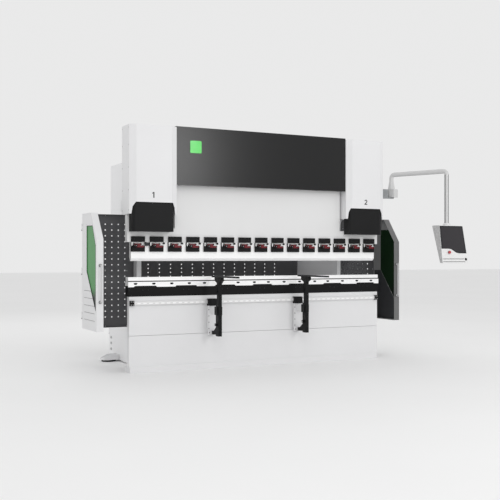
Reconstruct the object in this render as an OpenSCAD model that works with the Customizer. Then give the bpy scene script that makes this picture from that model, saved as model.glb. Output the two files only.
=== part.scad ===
// Electrohydraulic press brake: two C-shaped side frames carry a fixed bed with a die
// and two cylinders that drive a ram with a row of clamped punches.
// Units are millimetres. X runs along the bending line, Y from front to back, Z up.
// Every piece is drawn with Y = 0 on the front face of the bed, and then shifted so
// that the origin is the centre of the four anchor holes, at floor level.

/* [Machine] */
// Bending length, the length of the bed
bend_len = 3200; // [3150:10:3250]
// Thickness of each side frame plate
frame_t = 54; // [50:2:60]
// Height of the front face of the frames' throat above the floor, top edge
frame_top = 2364; // [2354:2:2374]
// Largest punch travel, the ram's stroke
stroke = 172; // [120:1:172]
// Height of the column covers' top above the floor
cover_top = 2657; // [2650:1:2665]

/* [Bed and tools] */
// Thickness of the bed plate
bed_t = 65; // [60:1:66]
// Height of the bed plate's top
bed_top = 821; // [819:1:822]
// Top of the die
die_top = 1029; // [1027:1:1030]
// Width of the V in the die
die_vee = 24; // [12:2:32]
// Y position of the bending line, the middle of ram, punch and V
line_y = 55; // [55:1:56]
// Height of the punch tip with the ram at the top
tip_z = 1203; // [1202:1:1206]
// Number of clamps along the ram
clamp_n = 15; // [15:1:15]
// Width of one clamp
clamp_w = 154; // [130:2:154]

/* [Cylinders] */
// Distance of each cylinder from the middle
cyl_x = 1358; // [1350:1:1366]
// Piston radius
piston_r = 85; // [75:1:88]
// Rod radius
rod_r = 55; // [45:1:58]
// Radial running clearance of pistons, rods and pins
run_fit = 0.05; // [0.02:0.01:0.08]

/* [Guards] */
// Distance of the outer guard panels from the middle
guard_x = 1950; // [1940:2:1960]
// Sheet thickness of the guards and covers
sheet = 4; // [3:0.5:5]
// Radius of the ventilation holes
vent_r = 8; // [4:0.5:9]

/* [Front supports] */
// Position of the left support along the rail
left_sup_x = -645; // [-700:1:-500]
// Position of the right support along the rail
right_sup_x = 453; // [350:1:600]

/* [Pendant] */
// Radius of the pendant tube
tube_r = 26; // [22:1:27]
// Length of the horizontal tube between the two swivel axes
arm_len = 750; // [700:10:800]
// Direction of the pendant arm, measured from +X
arm_dir = -66.2; // [-70:0.1:-60]

/* [Hidden] */
$fn = 48;
hl = bend_len / 2;
y0 = 635;               // distance from the bed face to the middle of the anchor holes
anchor_x = hl - 130;    // 1470
anchor_f = 110;         // front holes, from the bed face
anchor_r = 1160;        // rear holes, from the bed face
bolt_r = 11;
fo = hl - 242;          // outer face of a side frame
fi = fo - frame_t;      // inner face of a side frame
ci = hl - 511;          // inner wall of a column cover
co = hl + 27;           // outer wall of a column cover
piv_x = hl + 218;       // pendant swivel axis
head_x = piv_x + arm_len * cos(arm_dir);
head_y = arm_len * sin(arm_dir);
clamp_p = (bend_len - 208) / (clamp_n - 1) - 0.7;
// the die holder is four blocks in a row with four screws each
function screw_x(k) = -1531 + 803.7 * floor(k / 4) + 207.3 * (k % 4);
function clamp_c(k) = (k - (clamp_n - 1) / 2) * clamp_p - 5;
hinge_z = [600, 1090, 1580];
hx = guard_x - 2;       // guard hinge axis
hy = 593;
cab_hx = 1849;          // cabinet hinge axis
cab_hy = 1156;
cab_hz = [640, 1075, 1510];

// ---------- helpers ----------
module row() translate([0, -y0, 0]) children();
module bx(x0, x1, y0_, y1_, z0, z1)
  translate([x0, y0_, z0]) cube([x1 - x0, y1_ - y0_, z1 - z0]);
// an outline of [Y, Z] points, extruded along X
module along_x(x0, x1) translate([x0, 0, 0]) rotate([90, 0, 90]) linear_extrude(x1 - x0) children();
// an outline of [X, Z] points, extruded along Y
module along_y(a, b) translate([0, b, 0]) rotate([90, 0, 0]) linear_extrude(b - a) children();
module cyl_x(r, x0, x1, y, z) translate([x0, y, z]) rotate([0, 90, 0]) cylinder(r = r, h = x1 - x0);
module cyl_y(r, x, a, b, z) translate([x, a, z]) rotate([-90, 0, 0]) cylinder(r = r, h = b - a);
module cyl_z(r, x, y, z0, z1) translate([x, y, z0]) cylinder(r = r, h = z1 - z0);
module side(s) mirror([s < 0 ? 1 : 0, 0, 0]) children();
module both() { children(); mirror([1, 0, 0]) children(); }

// ---------- frame ----------
module frame_outline() difference() {
  polygon([[bed_t, 64], [157, 64], [157, 3], [700, 3], [1494, 32],
    [1494, 700], [1436, 1500], [1436, frame_top], [200, frame_top], [200, 1720], [bed_t, 1720]]);
  translate([0, 800]) square([376, 921]);
  translate([0, 880]) square([456, 760]);
  for (z = [880, 1640]) translate([376, z]) circle(r = 80);
  translate([700, frame_top - 82]) circle(r = 30);
}
module side_frame(s) row() side(s) color("gainsboro") along_x(fi, fo) frame_outline();
module left_side_frame() side_frame(-1);
module right_side_frame() side_frame(1);
module top_beam() row() color("gainsboro") bx(-fi, fi, 250, 330, 2080, 2330);
module rear_beam() row() color("gainsboro") bx(-fi, fi, 1370, 1448, 84, 300);
// each bracket is bolted beside its side frame, and stands on a round pad
module rear_feet() row() color("gainsboro") both() difference() {
  union() {
    cyl_z(84, anchor_x, anchor_r, 0, 12);
    cyl_z(40, anchor_x, anchor_r, 12, 20);
    bx(fo, hl - 44, 1085, 1235, 20, 36);
    for (y = [1090, 1218]) along_y(y, y + 12) polygon([[fo, 36], [hl - 44, 36], [hl - 130, 82], [fo, 82]]);
  }
  cyl_z(bolt_r, anchor_x, anchor_r, -1, 100);
}

// ---------- bed ----------
module base_beam() row() color("whitesmoke") difference() {
  bx(-hl + 10, hl - 10, -8, 157, 0, 64);
  both() cyl_z(bolt_r, anchor_x, anchor_f, -1, 65);
}
module bed_apron() row() color("whitesmoke") bx(-hl, hl, 0, bed_t, 64, 397);
module bed_plate() row() color("whitesmoke") bx(-hl, hl, 0, bed_t, 400, bed_top);
module crown_beam() row() color([0.14, 0.14, 0.14]) bx(-hl - 12, hl + 12, -4, 90, bed_top, 936);
module die_holder() row() color("lightgray") union() {
  difference() {
    bx(-hl - 12, hl + 12, -12, 92, 936, 979);
    for (k = [0:15]) {
      cyl_y(9, screw_x(k), -13, 20, 958);
      // recess around each screw
      along_y(-13, -7) translate([screw_x(k), 958])
        polygon([[-22, 3], [-13, 10], [13, 10], [22, 3], [12, -10], [-12, -10]]);
    }
  }
  for (x = [-1180, -708, -236, 236, 708, 1180])
    along_y(-12, -4) polygon([[x - 120, 937], [x - 106, 923], [x + 106, 923], [x + 120, 937]]);
  both() along_y(-12, -4) polygon([[hl - 64, 937], [hl - 50, 923], [hl + 12, 923], [hl + 12, 937]]);
}
module die_screws() row() color([0.12, 0.12, 0.12]) for (k = [0:15]) difference() {
  cyl_y(8.6, screw_x(k), -11, 19.5, 958);
  translate([screw_x(k), -12, 958]) rotate([-90, 0, 0]) cylinder(r = 4.6, h = 7, $fn = 6);
}
module lower_die() row() color("silver") along_x(-hl - 10, hl + 10) polygon([
  [line_y - 33, 979], [line_y + 13, 979], [line_y + 13, 990], [85, 990], [85, die_top],
  [line_y + die_vee / 2, die_top], [line_y, die_top - die_vee / 2],
  [line_y - die_vee / 2, die_top], [0, die_top], [0, 990], [line_y - 33, 990]]);
module front_rail() row() color("silver") {
  difference() {
    along_x(-hl + 52, hl - 52) polygon([[-22, 732], [-18, 728], [-13, 728], [-13, 738],
      [-9, 742], [-9, 757], [-13, 761], [-13, 771], [-18, 771], [-22, 767]]);
  }
  bx(-hl + 52, hl - 52, -9, 0, 728, 771);
  color([0.12, 0.12, 0.12]) both() bx(hl - 50, hl - 4, -30, 0, 722, 777);
}

// ---------- covers, cylinders and hydraulics ----------
module column_cover(s) row() side(s) color("whitesmoke") difference() {
  union() {
    translate([0, 0, 1706]) linear_extrude(cover_top - 1706)
      polygon([[ci, 160], [ci, -87], [ci + 70, -122], [co - 70, -122], [co, -87], [co, 160]]);
    bx(ci, co, 160, 200, 1740, 1860);
  }
  translate([0, 0, 1700]) linear_extrude(cover_top - sheet - 1700)
    polygon([[ci + sheet, 161], [ci + sheet, -84.5], [ci + 71, -118], [co - 71, -118],
      [co - sheet, -84.5], [co - sheet, 161]]);
  bx(ci + sheet, co - sheet, 159, 192, 1700, 1900);
  along_y(-130, -60) polygon([[ci + 19, 1690], [ci + 30, 1783], [ci + 52, 1832],
    [co - 64, 1832], [co - 32, 1783], [co - 19, 1690]]);
}
module left_column_cover() column_cover(-1);
module right_column_cover() column_cover(1);
module top_fascia() row() color([0.13, 0.13, 0.14]) {
  bx(-ci, ci, -75, -71, 2034, 2671);
  bx(-ci, ci, -71, -30, 2034, 2038);
  bx(-ci, ci, -71, -30, 2667, 2671);
}
module fascia_plate() row() color([0.4, 0.86, 0.4])
  along_y(-81, -75) union() {
    translate([-914, 2388]) square([110, 135]);
    translate([-926, 2400]) square([134, 111]);
    for (x = [-914, -804], z = [2400, 2511]) translate([x, z]) circle(r = 12);
  }
module cylinders() row() color([0.3, 0.32, 0.34]) both() difference() {
  union() {
    cyl_z(110, cyl_x, line_y, 1890, 2400);
    bx(cyl_x - 50, cyl_x + 50, line_y + 60, 200, 1900, 2320);
  }
  cyl_z(rod_r + run_fit, cyl_x, line_y, 1889, 1951);
  cyl_z(piston_r + run_fit, cyl_x, line_y, 1950, 2394);
}
module valve_blocks() row() color([0.62, 0.64, 0.66]) both() {
  bx(cyl_x - 80, cyl_x + 80, line_y - 70, line_y + 70, 2400, 2520);
  cyl_z(24, cyl_x - 38, line_y - 20, 2520, 2600);
  cyl_z(24, cyl_x + 38, line_y - 20, 2520, 2600);
}
// straight tubes with separate elbow blocks between them
module hydraulic_pipes() row() color([0.7, 0.7, 0.72]) {
  cyl_y(14, -140, 200, 524, 2453);
  bx(-162, -118, 158, 199.6, 2431, 2475);
  cyl_x(14, -cyl_x + 20.4, -162.4, 180, 2453);
  cyl_x(14, -117.6, cyl_x - 20.4, 180, 2453);
  both() {
    bx(cyl_x - 20, cyl_x + 20, 160, 200, 2433, 2473);
    cyl_y(14, cyl_x, line_y + 70, 159.6, 2453);
  }
}
module oil_tank() row() color([0.33, 0.35, 0.38]) difference() {
  union() {
    bx(-700, 700, 330, 840, 1900, 2320);
    bx(-715, 715, 330, 855, 2320, 2328);
    cyl_z(34, 500, 420, 2328, 2352);
  }
  bx(-694, 694, 336, 834, 1906, 2320);
  cyl_z(26, 500, 420, 2310, 2353);
}
module pump_motor() row() color([0.25, 0.35, 0.45]) {
  cyl_x(120, 0, 380, 585, 2453);
  cyl_x(112, 380, 430, 585, 2453);
  cyl_x(80, -80, 0, 585, 2453);
  cyl_x(60, -200, -80, 585, 2453);
  bx(40, 330, 480, 690, 2328, 2352);
  bx(60, 310, 545, 625, 2340, 2400);
  bx(120, 260, 535, 635, 2560, 2610);
}

// ---------- ram ----------
module ram_plate() row() color("whitesmoke") along_y(line_y - 35, line_y + 35) polygon([
  [-hl - 15, 1407], [hl + 15, 1407], [hl + 15, 1560], [ci - 20, 1560], [ci - 20, 2250],
  [-ci + 20, 2250], [-ci + 20, 1560], [-hl - 15, 1560]]);
module piston_rods() row() color("silver") both() {
  cyl_z(80, cyl_x, line_y, 1560, 1600);
  cyl_z(rod_r, cyl_x, line_y, 1600, 2340);
  cyl_z(piston_r, cyl_x, line_y, 2340, 2390);
}
module rod_cover(s) row() side(s) color([0.15, 0.15, 0.15]) difference() {
  translate([0, 0, 1519]) linear_extrude(511)
    polygon([[1130, 20], [1130, -98], [1148, -108], [1568, -108], [1594, -94], [1594, 20]]);
  translate([0, 0, 1523]) linear_extrude(510)
    polygon([[1134, 21], [1134, -95.6], [1149, -104], [1567, -104], [1590, -91.6], [1590, 21]]);
}
module left_rod_cover() rod_cover(-1);
module right_rod_cover() rod_cover(1);
module tool_holder() row() color("lightgray") bx(-hl + 30, hl - 30, 32, 78, 1306, 1407);
ear_x = [-53, 24];   // left side of each lever ear
module clamp_plates() row() color([0.13, 0.13, 0.13]) for (k = [0:clamp_n - 1])
  translate([clamp_c(k), 0, 0]) difference() {
    bx(-clamp_w / 2, clamp_w / 2, 0, 20, 1409, 1469);
    for (x = [-45, 45]) cyl_y(9, x, -1, 8, 1439);
  }
module clamp_blocks() row() color([0.13, 0.13, 0.13]) for (k = [0:clamp_n - 1])
  translate([clamp_c(k), 0, 0]) {
    difference() {
      along_x(-clamp_w / 2, clamp_w / 2) polygon([[8, 1304], [26, 1304], [26, 1310], [32, 1310],
        [32, 1372], [8, 1372], [4, 1366], [4, 1309]]);
      along_y(3, 33) polygon([[-clamp_w / 2 + 4, 1373], [-clamp_w / 2 + 4, 1359],
        [-clamp_w / 2 + 20, 1373]]);
    }
    // cheek on the left end, up to the plate above
    bx(-clamp_w / 2, -clamp_w / 2 + 4, 12, 32, 1340, 1406);
    // two ears for the lever's pin
    for (x = ear_x) difference() {
      along_x(x, x + 8) polygon([[-14, 1377], [9, 1377], [9, 1360], [22, 1360], [22, 1396], [-14, 1396]]);
      cyl_x(5 + run_fit, x - 1, x + 9, -7, 1386);
    }
    cyl_y(9, clamp_w / 2 + 10.4, 18, 32, 1396);
  }
module clamp_levers() row() color([0.7, 0.1, 0.12]) for (k = [0:clamp_n - 1])
  translate([clamp_c(k), 0, 0]) {
    cyl_x(5, ear_x[0] - 2, ear_x[1] + 10, -7, 1386);
    cyl_x(6.5, ear_x[0] + 8.4, ear_x[1] - 0.4, -7, 1386);
    along_y(-12, -3) polygon([[-54, 1361], [-44, 1370], [ear_x[0] + 8.4, 1372], [ear_x[0] + 8.4, 1381],
      [-28, 1387], [8, 1387], [ear_x[1] - 0.4, 1383], [ear_x[1] - 0.4, 1372], [44, 1371], [62, 1364],
      [69, 1357], [62, 1352], [30, 1349], [-20, 1350], [-44, 1354]]);
  }
module punch() row() color([0.86, 0.87, 0.88]) along_x(-hl + 30, hl - 30) polygon([
  [line_y - 28, 1306], [line_y + 28, 1306], [line_y + 28, tip_z + 42], [line_y + 3, tip_z + 0.6],
  [line_y, tip_z], [line_y - 3, tip_z + 0.6], [line_y - 28, tip_z + 28]]);

// ---------- front supports ----------
module support_carriage(x) row() translate([x, 0, 0]) color([0.13, 0.13, 0.13]) {
  difference() {
    bx(-50, 50, -62, -4, 705, 783);
    bx(-51, 51, -23, -3, 727, 772);
  }
  bx(-54, 44, -36, -28, 425, 705);
  bx(-15, 15, -172, -36, 610, 700);
  along_x(-15, 15) polygon([[-179.4, 392], [-36, 385], [-36, 425], [-110, 430], [-179.4, 480]]);
  difference() {
    bx(-32, 32, -238, -170, 610, 700);
    bx(-20.5, 20.5, -256, -179.4, 609, 701);
  }
  difference() {
    bx(-50, 40, -60, -28, 385, 425);
    bx(-40, 30, -44, -20, 395, 415);
  }
  bx(-50, 40, -28, -20, 419, 425);
  cyl_z(15, -20, -15.5, 396, 419);
  cyl_z(15, 18, -15.5, 396, 419);
}
module support_arm(x) row() translate([x, 0, 0]) color([0.12, 0.12, 0.12]) {
  bx(-20, 20, -255, -180, 377, 720);
  bx(-20, 20, -255, -205, 720, 975);
  along_x(-20, 20) polygon([[-307, 1021], [-144, 1021], [-144, 988], [-205, 960], [-255, 960], [-307, 985]]);
  bx(-20, 20, -697, -64, 1021, 1039);
  cyl_x(7, -29, -20, -218, 870);
  cyl_x(12, -24, -20, -218, 870);
}
module support_knob(x) row() translate([x, 0, 0]) color([0.1, 0.1, 0.1]) difference() {
  cyl_x(15, -48, -20.4, -218, 505);
  for (a = [0:60:300]) translate([-49, -218, 505]) rotate([a, 0, 0]) translate([0, 17.5, 0])
    rotate([0, 90, 0]) cylinder(r = 4, h = 24, $fn = 24);
}
module left_support_carriage() support_carriage(left_sup_x);
module right_support_carriage() support_carriage(right_sup_x);
module left_support_arm() support_arm(left_sup_x);
module right_support_arm() support_arm(right_sup_x);
module left_support_knob() support_knob(left_sup_x);
module right_support_knob() support_knob(right_sup_x);

// ---------- guards ----------
module hinge_fixed(x, y, zs) for (z = zs) {
  cyl_z(4, x, y, z - 44, z + 32);
  cyl_z(7, x, y, z - 44, z - 31);
}
module hinge_moving(x, y, zs) for (z = zs) cyl_z(7, x, y, z - 30, z + 30);
module hinge_bores(x, y, zs) for (z = zs) cyl_z(4 + run_fit, x, y, z - 31, z + 33);
module guard_panel(s) row() side(s) color([0.3, 0.3, 0.31]) {
  along_y(560, 564) difference() {
    translate([fo, 455]) square([guard_x - 10 - fo, 1270]);
    for (i = [0:5], j = [0:16]) translate([hl - 136 + 76 * i, 572 + 65.2 * j]) circle(r = vent_r);
  }
  bx(fo, fo + 420, 534, 560, 1719, 1725);
  bx(fo, fo + 420, 534, 560, 455, 459);
  bx(fo, fo + 4, 564, 610, 455, 1725);
  for (z = hinge_z) bx(guard_x - 14, guard_x - 8.6, 564, 596, z - 44, z - 31);
  hinge_fixed(hx, hy, hinge_z);
}
module left_guard_panel() guard_panel(-1);
module right_guard_panel() guard_panel(1);
win = [[394, 1585], [171, 1580], [55, 1365], [55, 677], [394, 1089]];
module guard_door(s) row() side(s) color("whitesmoke") difference() {
  union() {
    difference() {
      along_x(guard_x - sheet, guard_x) polygon([[583, 455], [20, 455], [20, 1436], [240, 1725], [583, 1725]]);
      along_x(guard_x - 10, guard_x + 1) polygon(win);
      for (j = [0:4]) bx(guard_x - 10, guard_x + 1, 95 + (j > 3 ? 110 : 0), 505, 560 + 79 * j, 566 + 79 * j);
    }
    difference() {
      along_x(guard_x - 75, guard_x - sheet) polygon([[20, 455], [20, 1436], [240, 1725], [555, 1725], [555, 455]]);
      along_x(guard_x - 80, guard_x) polygon([[24, 459], [24, 1434.7], [242, 1721], [556, 1721], [556, 459]]);
    }
    for (z = hinge_z) bx(guard_x - 4, guard_x, 580, 592, z - 30, z + 30);
    hinge_moving(hx, hy, hinge_z);
  }
  hinge_bores(hx, hy, hinge_z);
}
module left_guard_door() guard_door(-1);
module right_guard_door() guard_door(1);
module guard_window(s) row() side(s) color([0.3, 0.65, 0.35, 0.6])
  along_x(guard_x - sheet - 4, guard_x - sheet)
    polygon([[406, 1597], [164, 1592], [43, 1368], [43, 655], [52, 655], [406, 1085]]);
module left_guard_window() guard_window(-1);
module right_guard_window() guard_window(1);
module guard_handle(s) row() side(s) color("gainsboro") {
  cyl_z(8, 1908, -14, 752, 1172);
  for (z = [768, 1156]) { cyl_y(7, 1908, -14, 20, z); cyl_y(13, 1908, 12, 20, z); }
}
module left_guard_handle() guard_handle(-1);
module right_guard_handle() guard_handle(1);
module rear_guard() row() color([0.28, 0.28, 0.29]) {
  along_y(1494, 1498) difference() {
    translate([-fo, 300]) square([2 * fo, 1260]);
    for (i = [0:14], j = [0:16]) translate([-1154 + 151.3 * i, 596 + 50.6 * j]) circle(r = vent_r);
  }
  bx(-fo, fo, 1498, 1524, 1556, 1560);
  bx(-fo, fo, 1498, 1524, 300, 304);
}

// ---------- electrical cabinet ----------
module electrical_cabinet() row() color("gainsboro") {
  difference() {
    bx(fo, 1839, 640, 1150, 500, 1650);
    bx(fo + 4, 1840, 644, 1146, 504, 1646);
    cyl_y(20, 1640, 1145, 1151, 560);
  }
  difference() { cyl_y(26, 1640, 1150, 1176, 560); cyl_y(12, 1640, 1149, 1177, 560); }
  for (z = cab_hz) bx(1835, 1847, 1149.9, 1158, z - 44, z - 31);
  hinge_fixed(cab_hx, cab_hy, cab_hz);
}
module cabinet_door() row() color("whitesmoke") difference() {
  union() {
    bx(1840, 1844, 642, 1145, 502, 1648);
    bx(1840, 1858, 642, 646, 502, 1648);
    for (z = cab_hz) bx(1844, 1850, 1138, 1152, z - 30, z + 30);
    hinge_moving(cab_hx, cab_hy, cab_hz);
  }
  hinge_bores(cab_hx, cab_hy, cab_hz);
}

// ---------- pendant ----------
module pendant_bracket() row() color([0.3, 0.31, 0.32]) {
  bx(co, piv_x - 84, -42, 42, 1975, 2087);
  bx(co, co + 8, -60, 60, 1965, 2102);
  bx(piv_x - 90, piv_x, -30, 30, 1975, 1989.6);
  cyl_z(30, piv_x, 0, 1975, 1989.6);
  cyl_z(20, piv_x, 0, 1989, 2078);
}
module pendant_arm() row() color("whitesmoke") difference() {
  translate([piv_x, 0, 0]) rotate([0, 0, arm_dir]) {
    cyl_z(50, 0, 0, 1990, 2090);
    bx(0, 62, -50, 50, 1990, 2090);
    translate([0, 0, 2090]) cylinder(r1 = 44, r2 = tube_r, h = 110);
    cyl_z(tube_r, 0, 0, 2190, 2231);
    translate([40, 0, 2231]) rotate([90, 0, 0]) rotate([0, 0, 90]) rotate_extrude(angle = 90) translate([40, 0]) circle(r = tube_r);
    cyl_x(tube_r, 40, arm_len - 40, 0, 2271);
    translate([arm_len - 40, 0, 2231]) rotate([90, 0, 0]) rotate_extrude(angle = 90) translate([40, 0]) circle(r = tube_r);
    cyl_z(tube_r, arm_len, 0, 1592, 2231);
  }
  cyl_z(20 + run_fit, piv_x, 0, 1980, 2080);
}
// the front face of the head leans, and widens from 346 at the top to 380 at the bottom
module head_profile() polygon([[-766, 1620], [-638, 1620], [-638, 1606], [-800, 1180], [-812, 1175], [-843, 1175], [-846, 1180]]);
module pendant_head() row() color("whitesmoke") difference() {
  intersection() {
    along_x(head_x - 200, head_x + 200) head_profile();
    along_y(-900, -600) polygon([[head_x - 190, 1170], [head_x + 190, 1170], [head_x + 173, 1621], [head_x - 173, 1621]]);
  }
  cyl_z(tube_r + run_fit, head_x, head_y, 1590, 1621);
  // recess for the screen
  translate([head_x, 0, 0]) screen_solid(0.3, -3.2, 1);
  // bore for the emergency stop button
  translate([head_x - 78, 0, 0]) on_face(1300) translate([0, 0, -14]) cylinder(r = 9 + run_fit, h = 30);
}
// puts children on the sloped front face at height z, with +Z along its outward normal
face_tilt = atan2(80, 440);
function face_y(z) = -766 - (1620 - z) * 80 / 440;
module on_face(z) translate([0, face_y(z), z]) rotate([90 - face_tilt + 0, 0, 0]) children();
module screen_solid(g, back, front) on_face(1400) translate([0, 0, back]) linear_extrude(front - back)
  polygon([[-171 - g, 218 + g], [171 + g, 218 + g], [183 + g, -112 - g], [70, -112 - g], [30, -104 - g],
    [-10, -80 - g], [-40, -63 - g], [-70, -57 - g], [-181 - g, -57 - g]]);
module pendant_screen() row() translate([head_x, 0, 0]) color([0.25, 0.25, 0.25]) screen_solid(0, -3, 0.8);
module estop_button() row() translate([head_x - 78, 0, 0]) color([0.8, 0.1, 0.12]) on_face(1300) {
  cylinder(r = 9, h = 9);
  translate([0, 0, -8]) cylinder(r = 9, h = 16);
  translate([0, 0, 8]) cylinder(r = 17, h = 12);
}

// ---------- back gauge ----------
module gauge_rails() row() color([0.45, 0.47, 0.5]) {
  both() {
    bx(970, 1030, bed_t, 1060, 620, 680);
    bx(990, 1010, 150, 1000, 680, 700);
  }
  bx(-fi, fi, 1000, 1060, 540, 620);
  difference() { bx(-40, 40, bed_t, 125, 650, 730); cyl_y(10 + run_fit, 0, 60, 130, 690); }
  difference() { bx(-40, 40, 1000, 1055, 620, 730); cyl_y(10 + run_fit, 0, 990, 1061, 690); }
}
module gauge_motor() row() color([0.2, 0.2, 0.21]) {
  bx(-45, 45, 1060.5, 1180, 645, 735);
  bx(-30, 30, 1180, 1205, 660, 720);
}
module ball_screw() row() color("silver") union() {
  cyl_y(10, 0, 70, 1060, 690);
  cyl_y(16, 0, 126, 999, 690);
}
module gauge_carriage() row() color([0.35, 0.36, 0.38]) difference() {
  union() {
    bx(-1085, 1085, 560, 640, 701, 740);
    both() { bx(905, 955, 566, 640, 740, 1000); bx(960, 985, 570, 636, 682, 702); bx(1015, 1040, 570, 636, 682, 702); }
    bx(-45, 45, 560, 640, 655, 740);
  }
  cyl_y(16 + run_fit, 0, 550, 650, 690);
}
module gauge_beam() row() color([0.7, 0.71, 0.72]) {
  bx(-1150, 1150, 480, 555, 880, 960);
  both() bx(912, 948, 555, 565, 860, 960);
}
module finger(x) row() translate([x, 0, 0]) color([0.55, 0.57, 0.6]) {
  bx(-40, 40, 470, 565, 961, 985);
  bx(-40, 40, 470, 479, 900, 961);
  bx(-25, 25, 300, 480, 966, 994);
  bx(-12, 12, 292, 300, 970, 1003);
}
module left_finger() finger(-600);
module right_finger() finger(600);

left_side_frame();
right_side_frame();
top_beam();
rear_beam();
bed_plate();
bed_apron();
base_beam();
rear_feet();
crown_beam();
die_holder();
die_screws();
lower_die();
front_rail();
top_fascia();
fascia_plate();
left_column_cover();
right_column_cover();
cylinders();
valve_blocks();
hydraulic_pipes();
oil_tank();
pump_motor();
left_guard_panel();
right_guard_panel();
rear_guard();
electrical_cabinet();
pendant_bracket();
gauge_rails();
gauge_motor();
ram_plate();
piston_rods();
left_rod_cover();
right_rod_cover();
tool_holder();
clamp_plates();
clamp_blocks();
punch();
clamp_levers();
left_support_carriage();
left_support_arm();
left_support_knob();
right_support_carriage();
right_support_arm();
right_support_knob();
left_guard_door();
left_guard_window();
left_guard_handle();
right_guard_door();
right_guard_window();
right_guard_handle();
cabinet_door();
pendant_arm();
pendant_head();
pendant_screen();
estop_button();
gauge_carriage();
gauge_beam();
left_finger();
right_finger();
ball_screw();
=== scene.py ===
import math

import bmesh
import bpy
from mathutils import Matrix, Vector


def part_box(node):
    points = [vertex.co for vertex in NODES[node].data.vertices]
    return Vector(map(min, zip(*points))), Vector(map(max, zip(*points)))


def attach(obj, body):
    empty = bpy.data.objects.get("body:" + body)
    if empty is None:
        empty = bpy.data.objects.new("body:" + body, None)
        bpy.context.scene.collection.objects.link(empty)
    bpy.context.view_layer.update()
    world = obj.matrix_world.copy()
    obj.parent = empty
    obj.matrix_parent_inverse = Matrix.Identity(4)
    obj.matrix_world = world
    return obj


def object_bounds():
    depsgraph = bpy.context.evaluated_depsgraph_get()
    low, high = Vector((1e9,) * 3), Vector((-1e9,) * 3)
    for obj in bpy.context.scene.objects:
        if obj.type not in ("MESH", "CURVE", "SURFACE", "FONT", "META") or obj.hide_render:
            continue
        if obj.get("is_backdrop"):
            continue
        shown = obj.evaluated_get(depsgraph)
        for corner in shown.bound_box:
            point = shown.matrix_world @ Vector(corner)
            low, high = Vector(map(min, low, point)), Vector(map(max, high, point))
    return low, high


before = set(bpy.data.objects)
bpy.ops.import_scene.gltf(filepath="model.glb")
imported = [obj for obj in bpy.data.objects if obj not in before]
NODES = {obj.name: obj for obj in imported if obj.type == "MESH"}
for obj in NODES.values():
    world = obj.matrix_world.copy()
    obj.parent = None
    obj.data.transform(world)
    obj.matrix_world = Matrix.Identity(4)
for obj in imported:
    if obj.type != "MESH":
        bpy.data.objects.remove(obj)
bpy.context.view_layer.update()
Y0 = 635.0


def P(x, y, z):
    """A point in millimetres, with y = 0 on the bed's front face, as a row-frame vector in metres."""
    return Vector((x / 1000.0, (y - Y0) / 1000.0, z / 1000.0))


# ---------------------------------------------------------------- materials
def srgb(r, g=None, b=None):
    g = r if g is None else g
    b = r if b is None else b
    return tuple(
        (c / 255 / 12.92) if c / 255 <= 0.04045 else ((c / 255 + 0.055) / 1.055) ** 2.4
        for c in (r, g, b)
    )


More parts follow.
